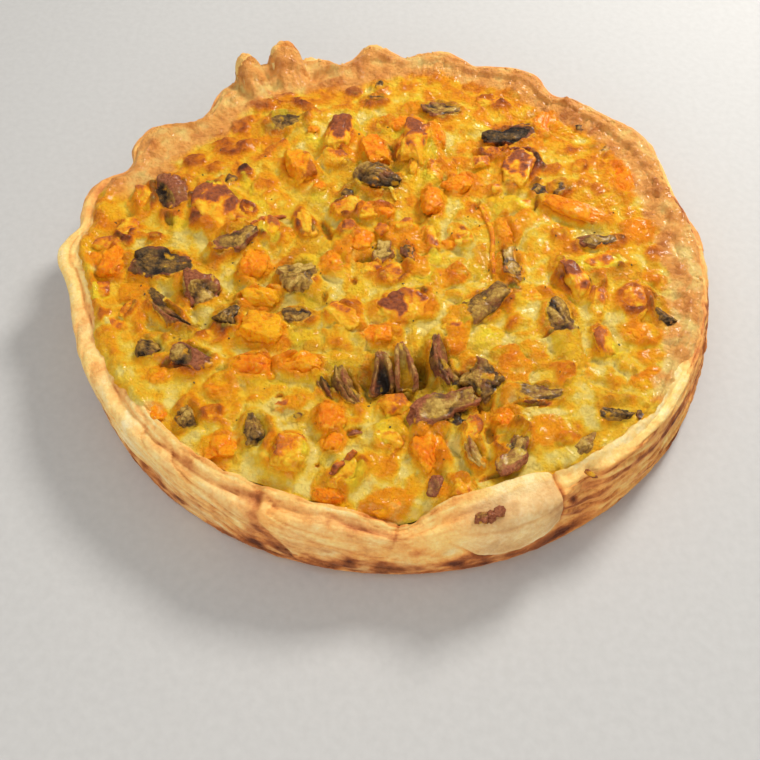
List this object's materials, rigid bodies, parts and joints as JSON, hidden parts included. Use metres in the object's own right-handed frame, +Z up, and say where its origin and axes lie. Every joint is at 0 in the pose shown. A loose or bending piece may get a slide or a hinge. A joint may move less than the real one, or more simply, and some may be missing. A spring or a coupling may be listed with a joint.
{
  "type": "vegetable tart",
  "caption": "Round open tart: folded pastry shell filled with baked egg custard, with pieces of mushroom, squash and cheese showing at the top.",
  "frame": {"origin": "middle of the flat underside", "axes": "+Z up; -Y towards the overlapping seam in the rim, at the front; the two tall rim peaks are at the back, a little towards -X"},
  "size_m": [0.2528, 0.2467, 0.0396],
  "materials": {
    "pastry": "matt baked pastry, pale on the folds, golden brown to red-brown on the wall",
    "custard": "moist baked egg custard and cheese, yellow with golden brown patches",
    "mushroom": "moist roasted mushroom, grey-brown with dark edges",
    "squash": "moist roasted squash, orange with browned corners",
    "cheese": "melted cheese, yellow with a browned top"
  },
  "bodies": {
    "root": {"cheese_01": "cheese", "cheese_02": "cheese", "cheese_03": "cheese", "cheese_04": "cheese", "cheese_05": "cheese", "cheese_06": "cheese", "cheese_07": "cheese", "cheese_08": "cheese", "crust": "pastry", "filling": "custard", "mushroom_01": "mushroom", "mushroom_02": "mushroom", "mushroom_03": "mushroom", "mushroom_04": "mushroom", "mushroom_05": "mushroom", "mushroom_06": "mushroom", "mushroom_07": "mushroom", "mushroom_08": "mushroom", "mushroom_09": "mushroom", "mushroom_10": "mushroom", "mushroom_11": "mushroom", "mushroom_12": "mushroom", "mushroom_13": "mushroom", "mushroom_14": "mushroom", "mushroom_15": "mushroom", "mushroom_16": "mushroom", "mushroom_17": "mushroom", "mushroom_slice_01": "mushroom", "mushroom_slice_02": "mushroom", "mushroom_slice_03": "mushroom", "mushroom_slice_04": "mushroom", "mushroom_slice_05": "mushroom", "mushroom_slice_06": "mushroom", "mushroom_slice_07": "mushroom", "mushroom_slice_08": "mushroom", "mushroom_slice_09": "mushroom", "mushroom_slice_10": "mushroom", "mushroom_slice_11": "mushroom", "mushroom_slice_12": "mushroom", "mushroom_slice_13": "mushroom", "mushroom_slice_14": "mushroom", "mushroom_slice_15": "mushroom", "mushroom_slice_16": "mushroom", "mushroom_slice_17": "mushroom", "squash_01": "squash", "squash_02": "squash", "squash_03": "squash", "squash_04": "squash", "squash_05": "squash", "squash_06": "squash", "squash_07": "squash", "squash_08": "squash", "squash_09": "squash", "squash_10": "squash", "squash_11": "squash", "squash_12": "squash", "squash_13": "squash", "squash_14": "squash", "squash_15": "squash", "squash_16": "squash"}
  },
  "joints": []
}
